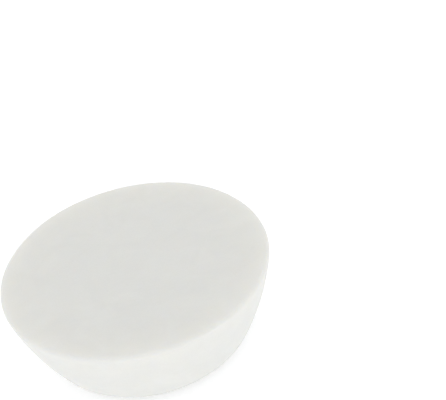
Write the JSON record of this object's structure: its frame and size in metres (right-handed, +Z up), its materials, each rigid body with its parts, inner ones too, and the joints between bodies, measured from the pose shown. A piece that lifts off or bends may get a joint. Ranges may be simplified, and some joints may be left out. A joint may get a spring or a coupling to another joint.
{
  "type": "shaving soap puck",
  "caption": "Round cake of hard shaving soap with a flat lathering face, a bulging flank that leans in to a smaller flat base, and softly rounded corners.",
  "frame": {"origin": "middle of the flat base that the puck stands on", "axes": "+Z up along the puck's axis, from the base to the face; the puck is round, so +X and +Y are any two level directions"},
  "size_m": [0.077, 0.077, 0.026],
  "materials": {
    "shaving_soap": "hard milled soap, off-white, waxy and matt, slightly translucent"
  },
  "bodies": {
    "root": {"soap_puck": "shaving_soap"}
  },
  "joints": []
}
